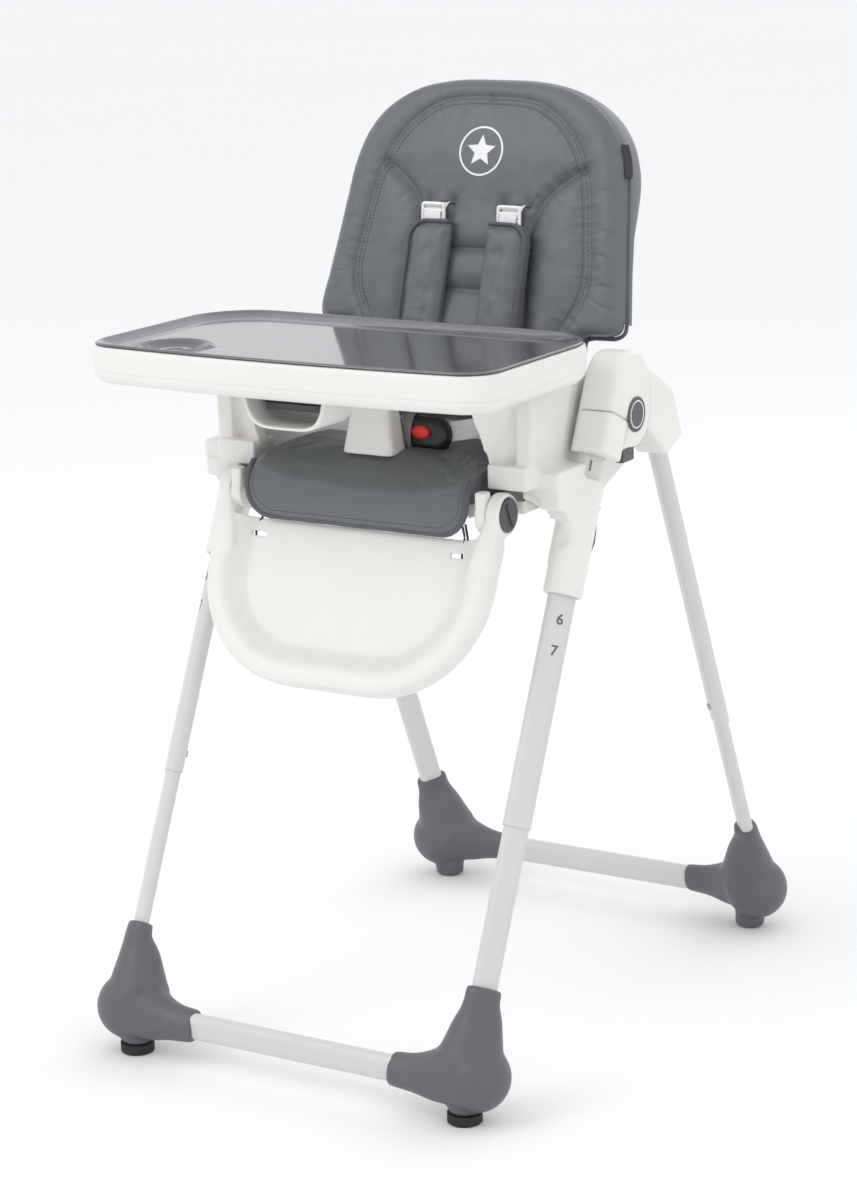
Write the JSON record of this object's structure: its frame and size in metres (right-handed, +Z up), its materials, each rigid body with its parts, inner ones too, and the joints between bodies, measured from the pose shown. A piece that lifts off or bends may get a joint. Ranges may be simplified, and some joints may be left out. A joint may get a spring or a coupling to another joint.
{
  "type": "baby high chair",
  "caption": "Folding baby high chair with an A-shaped tube frame, height slides, reclining padded back, calf rest and sliding tray.",
  "frame": {"origin": "on the floor under the middle of the chair's box", "axes": "+Z up, the chair faces -Y, +X to the left hand of a child sitting in it"},
  "size_m": [0.554, 0.801, 1.1071],
  "materials": {
    "black_plastic": "black moulding",
    "dark_plastic": "satin dark grey moulding",
    "fabric": "soft coated fabric, satin",
    "grey_plastic": "satin slate grey moulding",
    "insert_plastic": "glossy mid grey moulding",
    "red_plastic": "red moulding",
    "rubber": "matt black rubber",
    "steel": "zinc plated",
    "webbing_grey": "woven webbing",
    "webbing_white": "woven webbing",
    "white_paint": "satin white powder coat",
    "white_plastic": "satin warm white moulding",
    "white_small": "white moulding"
  },
  "bodies": {
    "front_frame": {"front_crossbar": "white_paint", "front_foot_pads": "rubber", "hub_badges": "dark_plastic", "fold_pivot_pins": "steel", "hub_screws": "steel", "front_cap_screws": "steel", "front_leg_upper_left": "white_paint", "front_leg_upper_right": "white_paint", "front_leg_lower_left": "white_paint", "front_leg_lower_right": "white_paint", "front_foot_cap_left": "grey_plastic", "front_foot_cap_right": "grey_plastic", "hub_outer_shell_left": "white_plastic", "hub_outer_shell_right": "white_plastic", "hub_inner_shell_left": "white_plastic", "hub_inner_shell_right": "white_plastic", "hub_collar_left": "white_plastic", "hub_collar_right": "white_plastic"},
    "rear_frame": {"rear_crossbar": "white_paint", "rear_cap_screws": "steel", "rear_socket_left": "white_plastic", "rear_socket_right": "white_plastic", "rear_leg_upper_left": "white_paint", "rear_leg_upper_right": "white_paint", "rear_leg_lower_left": "white_paint", "rear_leg_lower_right": "white_paint", "rear_foot_cap_left": "grey_plastic", "rear_foot_cap_right": "grey_plastic"},
    "seat": {"side_panel_left": "white_plastic", "side_panel_right": "white_plastic", "seat_pan": "white_plastic", "seat_cushion": "fabric", "seat_pivot_pins": "steel", "height_lever_pins": "steel", "harness_webbing": "webbing_grey", "buckle_body": "black_plastic"},
    "backrest": {"backrest_shell": "white_plastic", "back_cushion": "fabric", "recline_guides": "white_plastic", "shoulder_straps": "webbing_white", "shoulder_pads": "fabric", "strap_adjusters": "white_small"},
    "calf_rest": {"calf_panel": "white_plastic", "seat_flap": "fabric"},
    "tray": {"tray_body": "white_plastic", "crotch_post": "white_plastic"},
    "tray_insert": {"tray_insert": "insert_plastic"},
    "tray_release": {"tray_release_handle": "dark_plastic"},
    "recline_lever": {"recline_lever": "dark_plastic"},
    "buckle_button": {"buckle_button": "red_plastic"},
    "fold_button_left": {"fold_button_left": "dark_plastic"},
    "fold_button_right": {"fold_button_right": "dark_plastic"},
    "height_lever_left": {"height_lever_left": "dark_plastic"},
    "height_lever_right": {"height_lever_right": "dark_plastic"},
    "calf_button_left": {"calf_button_left": "dark_plastic"},
    "calf_button_right": {"calf_button_right": "dark_plastic"},
    "front_snap_button_left": {"front_snap_button_left": "steel"},
    "front_snap_button_right": {"front_snap_button_right": "steel"},
    "rear_snap_button_left": {"rear_snap_button_left": "steel"},
    "rear_snap_button_right": {"rear_snap_button_right": "steel"}
  },
  "joints": [
    {"name": "rear_frame_fold", "type": "hinge", "parent": "front_frame", "child": "rear_frame", "pos_m": [0, -0.0215, 0.745], "axis": [-1, 0, 0], "range_deg": [0, 48]},
    {"name": "seat_height", "type": "slide", "parent": "front_frame", "child": "seat", "axis": [0, -0.4226, -0.9063], "range_m": [0, 0.2154]},
    {"name": "backrest_recline", "type": "hinge", "parent": "seat", "child": "backrest", "pos_m": [0, 0.0385, 0.69], "axis": [-1, 0, 0], "range_deg": [0, 35]},
    {"name": "calf_rest_lift", "type": "hinge", "parent": "seat", "child": "calf_rest", "pos_m": [0, -0.1835, 0.652], "axis": [-1, 0, 0], "range_deg": [0, 65]},
    {"name": "tray_depth", "type": "slide", "parent": "seat", "child": "tray", "axis": [0, -1, 0], "range_m": [0, 0.07]},
    {"name": "tray_insert_lift", "type": "slide", "parent": "tray", "child": "tray_insert", "axis": [0, 0, 1], "range_m": [0, 0.05]},
    {"name": "tray_release_pull", "type": "slide", "parent": "tray", "child": "tray_release", "axis": [0, -1, 0], "range_m": [0, 0.01], "stiffness_N_per_m": 400},
    {"name": "recline_lever_squeeze", "type": "slide", "parent": "backrest", "child": "recline_lever", "axis": [0, 0.2924, 0.9563], "range_m": [0, 0.01], "stiffness_N_per_m": 600, "springref_m": -0.002},
    {"name": "buckle_button_press", "type": "slide", "parent": "seat", "child": "buckle_button", "axis": [0, 1, 0], "range_m": [0, 0.003], "stiffness_N_per_m": 800},
    {"name": "fold_button_press_left", "type": "slide", "parent": "front_frame", "child": "fold_button_left", "axis": [0, 0, 1], "range_m": [0, 0.005], "stiffness_N_per_m": 600},
    {"name": "height_lever_squeeze_left", "type": "hinge", "parent": "seat", "child": "height_lever_left", "pos_m": [0, -0.07765, 0.64492], "axis": [1, 0, 0], "range_deg": [0, 8], "stiffness_Nm_per_rad": 1.2},
    {"name": "calf_button_press_left", "type": "slide", "parent": "calf_rest", "child": "calf_button_left", "axis": [1, 0, 0], "range_m": [0, 0.003], "stiffness_N_per_m": 600},
    {"name": "front_snap_button_press_left", "type": "slide", "parent": "front_frame", "child": "front_snap_button_left", "axis": [-0.7071, -0.6409, 0.2988], "range_m": [0, 0.003], "stiffness_N_per_m": 500},
    {"name": "rear_snap_button_press_left", "type": "slide", "parent": "rear_frame", "child": "rear_snap_button_left", "axis": [-0.7071, 0.6455, 0.2887], "range_m": [0, 0.003], "stiffness_N_per_m": 500},
    {"name": "fold_button_press_right", "type": "slide", "parent": "front_frame", "child": "fold_button_right", "axis": [0, 0, 1], "range_m": [0, 0.005], "stiffness_N_per_m": 600},
    {"name": "height_lever_squeeze_right", "type": "hinge", "parent": "seat", "child": "height_lever_right", "pos_m": [0, -0.07765, 0.64492], "axis": [1, 0, 0], "range_deg": [0, 8], "stiffness_Nm_per_rad": 1.2},
    {"name": "calf_button_press_right", "type": "slide", "parent": "calf_rest", "child": "calf_button_right", "axis": [-1, 0, 0], "range_m": [0, 0.003], "stiffness_N_per_m": 600},
    {"name": "front_snap_button_press_right", "type": "slide", "parent": "front_frame", "child": "front_snap_button_right", "axis": [0.7071, -0.6409, 0.2988], "range_m": [0, 0.003], "stiffness_N_per_m": 500},
    {"name": "rear_snap_button_press_right", "type": "slide", "parent": "rear_frame", "child": "rear_snap_button_right", "axis": [0.7071, 0.6455, 0.2887], "range_m": [0, 0.003], "stiffness_N_per_m": 500}
  ]
}
